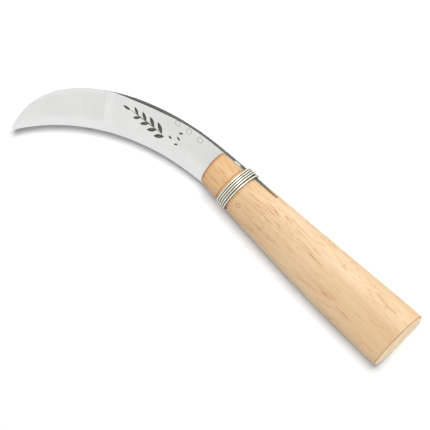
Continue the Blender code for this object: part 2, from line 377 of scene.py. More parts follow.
def tang_back_y(x):
    """The tang's back runs out with the handle in a straight line, and dips into the kerf behind the wire."""
    run = np.clip((MOUTH_X - x) / TANG_LENGTH, 0, 1)
    dip = TANG_DIP * smooth((run - TANG_DIP_FROM) / (1 - TANG_DIP_FROM))
    return EDGE_Y - BLADE_WIDTH - TANG_BACK_RISE * run + dip


def tight_loop(x, angle):
    """(y, z) of the wire's middle: the hull's farthest point along each direction, moved out along it."""
    around = np.linspace(0, 2 * pi, HULL_STEPS, endpoint=False)[None, :]
    y, z = oval(x[:, None], around, SEAT_DEPTH)
    back = np.repeat(tang_back_y(x)[:, None], 2, axis=1)
    corners = np.tile([-SPINE_THICKNESS / 2, SPINE_THICKNESS / 2], (len(x), 1))
    y, z = np.hstack([y, back]), np.hstack([z, corners])
    out_y, out_z = np.cos(angle), np.sin(angle)
    best = np.argmax(y * out_y[:, None] + z * out_z[:, None], axis=1)
    row = np.arange(len(x))
    away = WIRE_DIAMETER / 2 + WIRE_OFF_WOOD
    return y[row, best] + away * out_y, z[row, best] + away * out_z


def slipped(turn):
    """How far the wire has slipped to the butt: from 0.35 of a turn, most at 0.75 and none from 1.05."""
    grow = np.clip((turn - 0.35) / 0.4, 0, 1) ** 1.6
    fade = np.clip((1.05 - turn) / 0.3, 0, 1)
    return SLIP * grow * fade


def wire_path():
    """Points along the wire's middle: a bend out of one hole, five turns, and a bend into the other hole."""
    turn = np.linspace(0, WIRE_TURNS, WIRE_TURNS * TURN_STEPS + 1)
    angle = -pi / 2 + 2 * pi * turn
    x = WIRE_X + WIRE_PITCH * (turn - WIRE_TURNS / 2)
    y, z = tight_loop(x, angle)
    helix = np.column_stack([x + tan(WIRE_SLANT) * y - slipped(turn), y, z])
    bend = np.linspace(0, pi / 2, BEND_STEPS + 1)[1:]

    def tail(place, heading):
        """A quarter circle that turns up into the wood, and a straight length on from it."""
        curve = np.column_stack([
            np.zeros(BEND_STEPS), heading * END_BEND * np.sin(bend), END_BEND * (1 - np.cos(bend))])
        straight = np.array([[0, heading * END_BEND, END_BEND + END_DEPTH]])
        return place + np.vstack([curve, straight])

    return np.vstack([tail(helix[0], -1)[::-1], helix, tail(helix[-1], 1)])


path = wire_path()

# %% Build the wire
def tube(name, path, radius, sides):
    """A round bar along a path: each ring stands square to the path, on axes made from X and the tangent."""
    ahead = np.gradient(path, axis=0)
    ahead /= np.linalg.norm(ahead, axis=1)[:, None]
    first = np.array([1.0, 0.0, 0.0]) - ahead[:, :1] * ahead
    first /= np.linalg.norm(first, axis=1)[:, None]
    second = np.cross(ahead, first)
    turn = np.linspace(0, 2 * pi, sides, endpoint=False)[None, :, None]
    rings = path[:, None] + radius * (np.cos(turn) * first[:, None] + np.sin(turn) * second[:, None])
    points = rings.reshape(-1, 3)
    caps = [np.arange(sides)[::-1], np.arange(len(points) - sides, len(points))]
    return make_piece(name, points, grid_quads(len(path), sides), caps, sharp=50)


WIRE_SIDES = 16
WIRE_HOLE = WIRE_DIAMETER + 0.6 * MM
HOLE_BELOW_END = 8 * MM
HOLE_ABOVE_END = 0.3 * MM

wire = tube("neck_wire", path, WIRE_DIAMETER / 2, WIRE_SIDES)
# How far each point of a ring lies towards the turn beside it, 0 on top and 1 at the side, for the painted
# shade between the turns
flank = np.abs(np.cos(np.linspace(0, 2 * pi, WIRE_SIDES, endpoint=False)))
groove = wire.data.attributes.new("groove", "FLOAT", "POINT")
groove.data.foreach_set("value", np.tile(flank, len(path)).astype(np.float32))
for end in (path[0], path[-1]):
    drill(handle, end[0], end[1], end[2] - HOLE_BELOW_END, end[2] + HOLE_ABOVE_END, WIRE_HOLE)

# %% [markdown]
# ## The blade's form
#
# The cutting edge is one arc of a circle. At every station along that arc the smith's cross-section is a
# wedge: a straight back face, a square spine, a face that falls slowly, and a ground bevel down to the
# edge. The width stays nearly even and then falls fast to the point, and the spine thins where it was
# ground. A sweep of one fixed profile can't do that, so the profile's corners are themselves functions of
# the arc's length. The two arrises of the spine get a small real radius, because a hard corner never
# catches light.

# %% Blade sizes and formulas
EDGE_LENGTH = 125.2 * MM
HEEL_LENGTH = 3.8 * MM
ARC_LENGTH = EDGE_LENGTH + 2 * HEEL_LENGTH
TIP_POWER = 6.6
TIP_THICKNESS = 1.0 * MM
TAPER_SPAN = (0.31, 0.66)
FACE_FALL = 0.30
BEVEL_WIDTH = 4.4 * MM
MOST_BEVEL = 0.45
EDGE_THICKNESS = 0.3 * MM
TIP_BLUNT = 0.4 * MM
TANG_BELLY_INSET = 2.2 * MM
ARRIS = 0.20 * MM
FLAT_BACK_Z = -SPINE_THICKNESS / 2


def edge_frame(s):
    """Points on the edge's line at arc lengths s, and the unit directions from there to the back."""
    turn = np.maximum(s, 0) / EDGE_RADIUS
    out = np.column_stack([np.sin(turn), -np.cos(turn)])
    point = np.array([ARC_START_X, EDGE_Y + EDGE_RADIUS]) + EDGE_RADIUS * out
    point[:, 0] += np.minimum(s, 0)
    return point, out


def blade_corners(s):
    """Width limits and heights of the wedge at each s: back, drop, bevel, spine, face and edge."""
    point, _ = edge_frame(s)
    x = point[:, 0]
    inside = x < MOUTH_X
    depth = np.where(inside & (s < 2 * HEEL_LENGTH), smooth((MOUTH_X - x) / HEEL_LENGTH), 0)
    narrowing = BLADE_WIDTH * (1 - np.clip(s / ARC_LENGTH, 0, 1) ** TIP_POWER)
    back = np.where(inside, EDGE_Y - tang_back_y(x), narrowing)
    belly = centre_y(x) + half_width(x) - TANG_BELLY_INSET
    drop = depth * (EDGE_Y - belly)
    start, end = TAPER_SPAN
    thinned = smooth((s / ARC_LENGTH - start) / (end - start))
    spine = SPINE_THICKNESS - (SPINE_THICKNESS - TIP_THICKNESS) * thinned
    face = spine * (1 - FACE_FALL * (1 - depth))
    edge = spine + (EDGE_THICKNESS - spine) * (1 - depth)
    bevel = np.minimum(BEVEL_WIDTH, MOST_BEVEL * (back - drop))
    return back, drop, bevel, spine, face, edge


steel_low, steel_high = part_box("blade")
print("blade arc:", round(ARC_LENGTH / MM, 1), "mm; packed tip at x =", round(steel_high.x / MM, 1), "mm")

# %% Build the blade
FLAT, SCALE, FACE, BEVEL = range(4)     # the four finishes on the steel, as material slots
STEEL_NAMES = ("stoned flat back", "forge scale", "ground steel face", "honed bevel")
FLAT_STEPS, ARRIS_STEPS, SPINE_STEPS, FACE_STEPS, BEVEL_STEPS, RIM_STEPS = 30, 9, 6, 46, 12, 2
SEGMENTS = (
    (FLAT_STEPS + ARRIS_STEPS, FLAT), (SPINE_STEPS + ARRIS_STEPS, SCALE), (FACE_STEPS, FACE),
    (BEVEL_STEPS + RIM_STEPS, BEVEL))
TANG_ROWS, HEEL_ROWS, CRESCENT_ROWS = 30, 36, 330
CLOSING_UP = 1.4            # power that crowds the rows towards the tip
STEEL_SHARP = 11            # degrees, so that the bevel's line stays crisp


def blade_profile(s):
    """Closed wedge profile at each s as (rows, columns, 2) of (across, up), with rounded spine arrises.

    Where the steel gets thin or narrow, the arris shrinks to a share of the thickness or of the width.
    """
    back, drop, bevel, spine, face, edge = (value[:, None] for value in blade_corners(s))
    r = np.minimum(ARRIS, np.minimum(0.3 * spine, 0.12 * (back - drop)))
    quarter = np.linspace(0, pi / 2, ARRIS_STEPS, endpoint=False)[None, :]

    def line(start, end, steps):
        """Points on a straight line: start plus a growing share of the way to end."""
        t = np.linspace(0, 1, steps, endpoint=False)[None, :]
        return np.stack([start[0] + (end[0] - start[0]) * t, start[1] + (end[1] - start[1]) * t], axis=-1)

    nothing = np.zeros_like(back)
    lower = np.stack([back - r + r * np.sin(quarter), r - r * np.cos(quarter)], axis=-1)
    upper = np.stack([back - r + r * np.cos(quarter), spine - r + r * np.sin(quarter)], axis=-1)
    return np.concatenate([
        line((drop, nothing), (back - r, nothing), FLAT_STEPS), lower,
        line((back, r), (back, spine - r), SPINE_STEPS), upper,
        line((back - r, spine), (drop + bevel, face), FACE_STEPS),
        line((drop + bevel, face), (drop, edge), BEVEL_STEPS),
        line((drop, edge), (drop, nothing), RIM_STEPS)], axis=1)


def blade_stations():
    """Arc lengths of the rows: coarse in the tang, fine at the heel, and closing up towards the tip."""
    tang = np.linspace(KERF_END_X + KERF_GAP - ARC_START_X, 0, TANG_ROWS, endpoint=False)
    heel = np.linspace(0, 2 * HEEL_LENGTH, HEEL_ROWS, endpoint=False)
    run = 1 - (1 - np.linspace(0, 1, CRESCENT_ROWS)) ** CLOSING_UP
    return np.concatenate([tang, heel, 2 * HEEL_LENGTH + (ARC_LENGTH - TIP_BLUNT - 2 * HEEL_LENGTH) * run])


def build_blade():
    """Lays each station's profile across the edge's line, closes both ends and gives each face its finish."""
    s = blade_stations()
    profile = blade_profile(s)
    rows, columns = profile.shape[:2]
    point, out = edge_frame(s)
    plane = point[:, None] + out[:, None] * profile[..., :1]
    points = np.concatenate([plane, FLAT_BACK_Z + profile[..., 1:]], axis=-1).reshape(-1, 3)
    caps = [np.arange(columns)[::-1], np.arange(columns) + (rows - 1) * columns]
    piece = make_piece("crescent_blade", points, grid_quads(rows, columns), caps, sharp=STEEL_SHARP)
    finish = np.concatenate([np.full(count, slot) for count, slot in SEGMENTS])
    slots = np.append(np.tile(finish, rows - 1), [SCALE, BEVEL])
    for name in STEEL_NAMES:
        piece.data.materials.append(bpy.data.materials.new(name))
    piece.data.polygons.foreach_set("material_index", slots.astype(np.int32))
    return piece


blade = build_blade()
low, high = np.array(blade.bound_box).min(0), np.array(blade.bound_box).max(0)
print("blade box in mm:", np.round(low / MM, 2), np.round(high / MM, 2))
print("packed box:", [round(v / MM, 2) for v in (*steel_low, *steel_high)])
drill(blade, PEG_X, PEG_Y, -THROUGH_STEEL, THROUGH_STEEL, PEG_HOLE, sharp=STEEL_SHARP)
print("faces of each steel finish:", np.bincount([face.material_index for face in blade.data.polygons]))

# %% Strip coordinates for the finishes
def store_strip(piece):
    """Gives each point (arc length, distance from the edge, distance from the back), from its place alone.

    Past the start of the arc, the arc length is the radius times the angle round the arc's centre, and the
    distance from the edge is how far the point lies outside the arc. Before it both are straight lengths.
    """
    mesh = piece.data
    place = np.empty(3 * len(mesh.vertices), np.float32)
    mesh.vertices.foreach_get("co", place)
    x, y = place.reshape(-1, 3)[:, :2].astype(float).T
    over, under = x - ARC_START_X, EDGE_Y + EDGE_RADIUS - y
    s = np.where(over > 0, EDGE_RADIUS * np.arctan2(over, under), over)
    v = np.where(over > 0, np.hypot(over, under) - EDGE_RADIUS, EDGE_Y - y)
    strip = np.column_stack([s, v, blade_corners(s)[0] - v])
    store = mesh.attributes.new("strip", "FLOAT_VECTOR", "POINT")
    store.data.foreach_set("vector", strip.astype(np.float32).ravel())
    print("strip runs from", np.round(strip.min(0) / MM, 1), "to", np.round(strip.max(0) / MM, 1), "mm")


store_strip(blade)

# %% [markdown]
# ## The peg
#
# The peg is driven in and cut off with the wood, so its ends follow the handle's surface and lie a hair
# under it. It is a turned form: a profile from the middle of the top face, over the rim, down the side and
# in again below, carried round a circle. The height of its ends is the handle's own height at that place.

# %% Build the peg
PEG_DIAMETER = 2.7 * MM
PEG_RECESS = 0.04 * MM
PEG_SIDES = 40
PEG_END_RINGS = 9           # from the middle of an end to its rim
PEG_RIM = 0.96              # share of the radius at which the rim begins to turn down


def surface_height(x, y):
    """Height of the oval handle over the middle plane at (x, y), from the superellipse's own equation."""
    share = np.abs((y - centre_y(x)) / half_width(x))
    return half_thickness(x) * (1 - share**OVAL_POWER) ** (1 / OVAL_POWER)


def build_peg():
    """Rings that grow to the rim and shrink again, from the wood's surface on top to the one below."""
    end = np.linspace(0, PEG_RIM, PEG_END_RINGS)
    radius = PEG_DIAMETER / 2 * np.concatenate([end, [1, 1, 1], end[::-1]])
    level = np.concatenate([np.ones(PEG_END_RINGS), [0.99, 0, -0.99], -np.ones(PEG_END_RINGS)])
    turn = np.linspace(0, 2 * pi, PEG_SIDES, endpoint=False)
    x = PEG_X + radius[:, None] * np.cos(turn)
    y = PEG_Y + radius[:, None] * np.sin(turn)
    z = (surface_height(x, y) - PEG_RECESS) * level[:, None]
    points = np.stack([x, y, z], axis=-1).reshape(-1, 3)
    return make_piece("peg", points, grid_quads(len(radius), PEG_SIDES), merge=0.0001 * MM)


peg = build_peg()

# %% [markdown]
# ## Writing finishes as formulas
#
# A finish is a chain of shader nodes. Small helpers keep such a chain readable: one adds any node, others
# do arithmetic, turn a value into a soft mask between two limits, blend two colours or make noise.
# Patterns are placed with the piece's own coordinates in metres, so a grain that is written as 2 mm long
# is 2 mm long.

# %% Shader helpers
def new_finish(name):
    """A material with nodes, new or already on a piece: the material, its tree and its main shader."""
    made = bpy.data.materials.get(name) or bpy.data.materials.new(name)
    made.use_nodes = True
    return made, made.node_tree, made.node_tree.nodes["Principled BSDF"]


def add(tree, kind, inputs=None, **settings):
    """Adds a node, sets it up, and joins or fills its inputs. Inputs go by name or number."""
    made = tree.nodes.new(kind)
    for key, value in settings.items():
        setattr(made, key, value)
    for key, value in (inputs or {}).items():
        if isinstance(value, bpy.types.NodeSocket):
            tree.links.new(value, made.inputs[key])
        else:
            made.inputs[key].default_value = value
    return made


def calc(tree, operation, a, b=0.0, c=0.0):
    """One step of arithmetic on sockets or numbers. MULTIPLY_ADD is a times b plus c."""
    return add(tree, "ShaderNodeMath", {0: a, 1: b, 2: c}, operation=operation).outputs[0]


def mask(tree, value, start, end, low=0.0, high=1.0):
    """Soft step: low at start and before, high at end and after. Start may be the larger one."""
    inputs = {"Value": value, "From Min": start, "From Max": end, "To Min": low, "To Max": high}
    return add(tree, "ShaderNodeMapRange", inputs, interpolation_type="SMOOTHSTEP").outputs["Result"]


def fold(tree, operation, values):
    """Takes the values together from left to right."""
    whole = values[0]
    for value in values[1:]:
        whole = calc(tree, operation, whole, value)
    return whole


def union(tree, *shares):
    """The largest of several shares: a point is marked if any of them marks it."""
    return fold(tree, "MAXIMUM", shares)


def times(tree, *shares):
    """The product of several shares: a point is marked where all of them mark it."""
    return fold(tree, "MULTIPLY", shares)


def mix(tree, share, first, second):
    """Colour mix. Colours are sockets or (r, g, b)."""
    made = add(tree, "ShaderNodeMix", {"Factor": share}, data_type="RGBA")
    for socket, colour in ((made.inputs[6], first), (made.inputs[7], second)):
        if isinstance(colour, bpy.types.NodeSocket):
            tree.links.new(colour, socket)
        else:
            socket.default_value = (*colour, 1.0)
    return made.outputs[2]


def noise(tree, place, per_metre, detail=3.0, roughness=0.5, offset=(0, 0, 0), bend=0.0):
    """Noise whose three directions each have their own number of waves per metre."""
    spread = add(tree, "ShaderNodeMapping", {"Vector": place, "Scale": per_metre, "Location": offset})
    inputs = {
        "Vector": spread.outputs[0], "Scale": 1.0, "Detail": detail, "Roughness": roughness,
        "Distortion": bend}
    return add(tree, "ShaderNodeTexNoise", inputs).outputs["Fac"]


def bump(tree, shader, height, distance, strength=1.0):
    """Relief: height 1 stands the distance, in metres, above height 0."""
    made = add(tree, "ShaderNodeBump", {"Height": height, "Distance": distance, "Strength": strength})
    tree.links.new(made.outputs[0], shader.inputs["Normal"])


print("helpers ready: new_finish, add, calc, mask, fold, union, times, mix, noise, bump")

# %% [markdown]
# ## Bare pale hardwood
#
# The handle is sanded, unfinished, straight-grained wood. Its look is layered: a broad drift of tone along
# the grain, clusters of short orange-brown vessel marks, very fine pores, a few thin dark growth lines along
# most of the handle, and a warmer front that turns darker brown at the mouth. Noise stretched along X gives
# the grain. The sawn butt gets its own growth rings and open vessels, and a darker line round its rim.

# %% The wood's colours
DEEP_GROUND, LIGHT_GROUND = (0.56, 0.395, 0.232), (0.63, 0.462, 0.290)
# The next colour is a painted sheen for the back side of the handle.
PAINTED_SHEEN = (0.68, 0.53, 0.355)
FIBRE_BROWN = (0.50, 0.31, 0.15)
WARM_NECK, WARM_BUTT = (0.56, 0.33, 0.138), (0.53, 0.33, 0.16)
VESSEL_BROWN = (0.47, 0.185, 0.052)
PORE_BROWN = (0.33, 0.17, 0.08)
LINE_BROWN = (0.38, 0.19, 0.085)
MOUTH_DARK_BROWN = (0.38, 0.145, 0.035)
SPRING_RING, SUMMER_RING = (0.70, 0.56, 0.355), (0.60, 0.455, 0.265)
OPEN_VESSEL = (0.36, 0.22, 0.11)
RIM_BROWN = (0.36, 0.185, 0.080)
HEART_Y, HEART_Z = 21 * MM, 34 * MM     # the growth rings' heart, to the back and under the middle line
RING_WAVE = 2100.0                      # radians per metre: a ring about every 3 mm
print("wood colours set, from", LIGHT_GROUND, "to", PORE_BROWN)

# %% The wood's layers
def wood_ground(tree, place, x, y):
    """The quiet part of the colour: a broad drift, fibre, a painted sheen as a pale strip along the back, and
    warmer wood at both ends.
    """
    drift = noise(tree, place, (14, 120, 120), 4, 0.6, bend=0.4)
    colour = mix(tree, mask(tree, drift, 0.3, 0.7), DEEP_GROUND, LIGHT_GROUND)
    # Painted sheen: paler wood along the back side, in a strip that widens towards the butt.
    sheen_strip = mask(tree, calc(tree, "MULTIPLY_ADD", x, 0.055, y), -0.004, -0.010, 0, 0.5)
    colour = mix(tree, sheen_strip, colour, PAINTED_SHEEN)
    fibre = mask(tree, noise(tree, place, (26, 1300, 1300), 3, 0.6), 0.35, 0.7)
    colour = mix(tree, times(tree, fibre, 0.20), colour, FIBRE_BROWN)
    colour = mix(tree, mask(tree, x, 0.088, 0.128, 0, 0.60), colour, WARM_NECK)
    return drift, mix(tree, mask(tree, x, 0.055, 0.010, 0, 0.32), colour, WARM_BUTT)


def vessel_marks(tree, place, x):
    """Short orange-brown dashes along the grain, in clusters, and crowded from the wire to the mouth."""
    clusters = mask(tree, noise(tree, place, (38, 190, 190), 2, offset=(3, 1, 7)), 0.40, 0.62)
    crowd = union(tree, clusters, mask(tree, x, 0.086, 0.108, 0, 0.85))
    dashes = mask(tree, noise(tree, place, (125, 1900, 1900), 2, 0.55), 0.575, 0.65)
    broad = mask(tree, noise(tree, place, (95, 1150, 1150), 3, 0.6, offset=(7, 2, 5)), 0.60, 0.68)
    return times(tree, crowd, union(tree, dashes, times(tree, broad, 0.8)))


def long_lines(tree, place):
    """Thin growth lines that run most of the handle: where a slow noise crosses one of two levels."""
    wander = noise(tree, place, (5, 300, 300), 1, offset=(0, 4, 2))
    shares = []
    for level, width in ((0.57, 0.010), (0.46, 0.006)):
        away = calc(tree, "ABSOLUTE", calc(tree, "SUBTRACT", wander, level))
        shares.append(mask(tree, away, width, 0.2 * width))
    broken = mask(tree, noise(tree, place, (60, 60, 60), 2, offset=(1, 9, 4)), 0.40, 0.56, 0.15, 0.62)
    return times(tree, union(tree, *shares), broken)


def sawn_end(tree, place, y, z):
    """End grain: uneven growth rings round a heart outside the handle, and the open ends of the vessels."""
    across, up = calc(tree, "ADD", y, HEART_Y), calc(tree, "ADD", z, HEART_Z)
    away = calc(tree, "ADD", calc(tree, "POWER", across, 2.0), calc(tree, "POWER", up, 2.0))
    wander = noise(tree, place, (60, 160, 160), 3, offset=(2, 5, 1))
    uneven = times(tree, wander, 9.0)
    phase = calc(tree, "MULTIPLY_ADD", calc(tree, "SQRT", away), RING_WAVE, uneven)
    strength = mask(tree, wander, 0.35, 0.6, 0.2, 0.9)
    rings = times(tree, mask(tree, calc(tree, "SINE", phase), -0.2, 1), strength)
    grain = mix(tree, rings, SPRING_RING, SUMMER_RING)
    vessels = mask(tree, noise(tree, place, (900, 2600, 2600), 2), 0.58, 0.72, 0, 0.35)
    return mix(tree, vessels, grain, OPEN_VESSEL)


print("wood layers: ground, vessel marks, long lines and the sawn end")

# %% The wood's finish
def wood_finish():
    """All the layers, laid over each other from the broadest to the smallest, then the mouth and the butt."""
    made, tree, shader = new_finish("bare pale hardwood")
    place = add(tree, "ShaderNodeTexCoord").outputs["Object"]
    x, y, z = add(tree, "ShaderNodeSeparateXYZ", {0: place}).outputs
    drift, colour = wood_ground(tree, place, x, y)
    marks = vessel_marks(tree, place, x)
    colour = mix(tree, times(tree, marks, 0.80), colour, VESSEL_BROWN)
    pores = mask(tree, noise(tree, place, (520, 5200, 5200), 2), 0.60, 0.78)
    colour = mix(tree, times(tree, pores, 0.30), colour, PORE_BROWN)
    colour = mix(tree, long_lines(tree, place), colour, LINE_BROWN)
    # Darker brown over the last few millimetres before the mouth, uneven with the drift.
    at_mouth = mask(tree, x, MOUTH_X - 2.6 * MM, MOUTH_X - 0.4 * MM)
    mouth_darkening = times(tree, at_mouth, mask(tree, drift, 0.3, 0.6, 0.5, 0.9))
    colour = mix(tree, mouth_darkening, colour, MOUTH_DARK_BROWN)
    sawn = calc(tree, "MULTIPLY_ADD", y, -tan(BUTT_SLANT), x)     # distance from the slanted butt
    colour = mix(tree, mask(tree, sawn, 0.00022, 0.00004), colour, sawn_end(tree, place, y, z))
    rim = times(tree, mask(tree, sawn, 0.0001, 0.0003), mask(tree, sawn, 0.0012, 0.0006, 0, 0.62))
    colour = mix(tree, rim, colour, RIM_BROWN)
    tree.links.new(colour, shader.inputs["Base Color"])
    dull = calc(tree, "MULTIPLY_ADD", marks, 0.12, 0.56)
    tree.links.new(dull, shader.inputs["Roughness"])
    relief = calc(tree, "MULTIPLY_ADD", marks, -0.6, times(tree, drift, 0.5))
    bump(tree, shader, calc(tree, "MULTIPLY_ADD", pores, -0.5, relief), 0.00012, 0.6)
    shader.inputs["Specular IOR Level"].default_value = 0.30
    return made


handle.data.materials.clear()
handle.data.materials.append(wood_finish())
print("wood finish on", handle.name)

# %% The peg's finish
BAMBOO_DEEP, BAMBOO_LIGHT = (0.52, 0.345, 0.19), (0.62, 0.435, 0.255)
BAMBOO_FIBRE = (0.34, 0.19, 0.085)
PEG_GAP_SHADE = (0.30, 0.155, 0.07)


def peg_finish():
    """A splinter of bamboo seen end on: faint fibre dots in a ground like the handle's, and a painted shadow
    round the rim.
    """
    made, tree, shader = new_finish("bamboo end grain")
    place = add(tree, "ShaderNodeTexCoord").outputs["Object"]
    x, y, _ = add(tree, "ShaderNodeSeparateXYZ", {0: place}).outputs
    tone = noise(tree, place, (700, 700, 60), 3)
    colour = mix(tree, mask(tree, tone, 0.35, 0.65), BAMBOO_DEEP, BAMBOO_LIGHT)
    dots = mask(tree, noise(tree, place, (3600, 3600, 120), 1), 0.55, 0.68, 0, 0.45)
    colour = mix(tree, dots, colour, BAMBOO_FIBRE)
    across = calc(tree, "SUBTRACT", x, float(PEG_X))
    down = calc(tree, "SUBTRACT", y, float(PEG_Y))
    away = calc(tree, "SQRT", calc(tree, "MULTIPLY_ADD", across, across, times(tree, down, down)))
    # Painted shadow of the thin gap between the peg and its hole, as a dark ring at the rim.
    colour = mix(tree, mask(tree, away, 0.88 * MM, 1.25 * MM, 0, 0.75), colour, PEG_GAP_SHADE)
    tree.links.new(colour, shader.inputs["Base Color"])
    shader.inputs["Roughness"].default_value = 0.6
    bump(tree, shader, dots, 0.00008, 0.5)
    return made


peg.data.materials.append(peg_finish())
print("bamboo finish on", peg.name)

# %% [markdown]
# ## Tinned wire
#
# Soft iron wire with a bright tin coat: nearly white metal with a faint warm-green cast, dull where it was
# drawn through the pliers. Each point knows how far it lies towards its neighbour turn, and painted shade
# darkens the colour there, between the turns. Fine lines and a slow drift of roughness do the rest.

# %% The wire's finish
DULL_TIN, BRIGHT_TIN = (0.58, 0.57, 0.47), (0.72, 0.715, 0.62)
GROOVE_SHADE = (0.12, 0.105, 0.07)


def wire_finish():
    """Tin that drifts in tone and roughness, with painted shade towards the grooves and fine lines along the
    wire.
    """
    made, tree, shader = new_finish("tinned soft wire")
    place = add(tree, "ShaderNodeTexCoord").outputs["Object"]
    drift = noise(tree, place, (900, 260, 260), 3)
    colour = mix(tree, mask(tree, drift, 0.3, 0.7), DULL_TIN, BRIGHT_TIN)
    flank = add(tree, "ShaderNodeAttribute", attribute_name="groove").outputs["Fac"]
    # Painted shade between the turns, nearly black at the flanks of the wire.
    colour = mix(tree, mask(tree, flank, 0.28, 0.82, 0, 0.94), colour, GROOVE_SHADE)
    tree.links.new(colour, shader.inputs["Base Color"])
    tree.links.new(mask(tree, drift, 0.3, 0.7, 0.50, 0.38), shader.inputs["Roughness"])
    shader.inputs["Metallic"].default_value = 0.6
    bump(tree, shader, noise(tree, place, (6000, 900, 900), 2), 0.00002, 0.4)
    return made


wire.data.materials.append(wire_finish())
print("wire finish on", wire.name)

# %% [markdown]
# ## Ground, honed and forged steel
#
# One blade shows four finishes. The face was ground across on a wheel and then rubbed down, with a duller
# ground patch towards the point. The bevel is honed brighter along the edge. The spine keeps its black
# forge scale, up to where the grinding took it off, and a ragged strip of scale is left on the face beside
# it. The flat back is rubbed on a stone. Each finish reads the strip coordinates that the mesh carries:
# length along the arc, distance from the edge and distance from the back.
#
# Makers etch a sign and punch rings on such blades. This one gets a plain leaf sprig and plain rings,
# which are drawn with the same arithmetic: a leaf is where one less x squared less the size of y stays
# above zero.

# %% The etched sprig and the punched rings
def framed(tree, strip, along_edge, from_edge, angle, size):
    """Coordinates of a small stamp: its middle at (along_edge, from_edge) in mm, turned, with size as one."""
    inputs = {
        "Vector": strip, "Location": (along_edge * MM, from_edge * MM, 0), "Rotation": (0, 0, angle),
        "Scale": (size[0] * MM, size[1] * MM, 1)}
    placed = add(tree, "ShaderNodeMapping", inputs, vector_type="TEXTURE").outputs[0]
    return add(tree, "ShaderNodeSeparateXYZ", {0: placed}).outputs


def leaf(tree, strip, *where):
    """1 inside a pointed leaf: one less x squared less the size of y."""
    x, y, _ = framed(tree, strip, *where)
    rest = calc(tree, "SUBTRACT", 1.0, calc(tree, "MULTIPLY_ADD", x, x, calc(tree, "ABSOLUTE", y)))
    return mask(tree, rest, -0.02, 0.16)


def ring(tree, strip, along_edge, from_edge, radius, wall):
    """1 on a circle: where the distance from the middle is within the wall of the radius."""
    x, y, _ = framed(tree, strip, along_edge, from_edge, 0, (radius, radius))
    away = calc(tree, "SQRT", calc(tree, "MULTIPLY_ADD", x, x, times(tree, y, y)))
    off = calc(tree, "ABSOLUTE", calc(tree, "SUBTRACT", away, 1.0))
    return mask(tree, off, 1.4 * wall / radius, 0.6 * wall / radius)


SPRIG_ROOT = np.array([37.4, 10.4])     # mm along the edge and from it, as are all the stamps' places
SPRIG_LEAN = radians(14)
SPRIG_HEIGHT = 24.0
STEM_MIDDLE, STEM_SIZE = 11.2, (12.2, 0.30)
SPRIG_PAIRS = 4
FIRST_PAIR, PAIR_STEP, PAIR_STAGGER = 2.7, 5.0, 0.9
LEAF_HALF, LEAF_SHRINK, LEAF_SLIM, LEAF_OUT = 3.3, 0.30, 0.36, 0.62
LEAF_LEAN = radians(38)
END_LEAF = (2.4, 0.8)
SEED_SIZE = (1.25, 0.62)
RING_RADIUS, RING_WALL = 1.35, 0.20


def sprig(tree, strip):
    """A leaning stem with pairs of leaves that shrink towards its end, and one leaf on the end."""
    lean = np.array([cos(SPRIG_LEAN), sin(SPRIG_LEAN)])
    side = np.array([-lean[1], lean[0]])
    shares = [leaf(tree, strip, *(SPRIG_ROOT + STEM_MIDDLE * lean), SPRIG_LEAN, STEM_SIZE)]
    for pair in range(SPRIG_PAIRS):
        size = LEAF_HALF - LEAF_SHRINK * pair
        for hand in (1, -1):
            up_stem = (FIRST_PAIR + PAIR_STEP * pair + PAIR_STAGGER * hand) * lean
            place = SPRIG_ROOT + up_stem + hand * LEAF_OUT * size * side
            shares.append(leaf(tree, strip, *place, SPRIG_LEAN + hand * LEAF_LEAN, (size, LEAF_SLIM * size)))
    shares.append(leaf(tree, strip, *(SPRIG_ROOT + SPRIG_HEIGHT * lean), SPRIG_LEAN, END_LEAF))
    return union(tree, *shares)


def small_stamps(tree, strip):
    """Three seed-shaped punches in a row across the blade, and a fourth one between them and the sprig."""
    places = ((33.6, 11.4, 0.3), (29.4, 9.6, -0.5), (29.2, 13.1, 0.5), (29.0, 16.4, -0.4))
    return union(tree, *[leaf(tree, strip, *place, SEED_SIZE) for place in places])


def punched_rings(tree, strip):
    """Three plain rings in a line near the spine."""
    places = ((32.5, 20.4), (25.7, 19.8), (18.9, 19.3))
    return union(tree, *[ring(tree, strip, *place, RING_RADIUS, RING_WALL) for place in places])


print("sprig of", 2 * SPRIG_PAIRS + 1, "leaves, 4 seeds and 3 rings")

# %% The four steel finishes
CLOUD_DARK, CLOUD_LIGHT = (0.755, 0.76, 0.75), (0.80, 0.80, 0.785)
NECK_GREY = (0.68, 0.685, 0.675)
PATCH_GREY = (0.64, 0.645, 0.625)
STREAK_BRIGHT = (0.88, 0.88, 0.87)
BRUSH_GREY = (0.60, 0.605, 0.60)
ETCH_DARK = (0.055, 0.055, 0.05)
HONED_DARK, HONED_LIGHT = (0.76, 0.765, 0.76), (0.83, 0.83, 0.825)
INSIDE_WOOD = (0.10, 0.105, 0.095)
STONED_DARK, STONED_LIGHT, STONE_LINE = (0.64, 0.645, 0.64), (0.76, 0.76, 0.75), (0.50, 0.50, 0.49)
SCALE_DARK, SCALE_LIGHT = (0.040, 0.044, 0.036), (0.088, 0.092, 0.080)
BARE_SPINE = (0.70, 0.705, 0.70)


def steel(slot, roughness):
    """Starts the finish in that slot: its tree, its main shader and the strip coordinates."""
    _, tree, shader = new_finish(STEEL_NAMES[slot])
    shader.inputs["Metallic"].default_value = 1.0
    shader.inputs["Roughness"].default_value = roughness
    strip = add(tree, "ShaderNodeAttribute", attribute_name="strip").outputs["Vector"]
    return tree, shader, strip


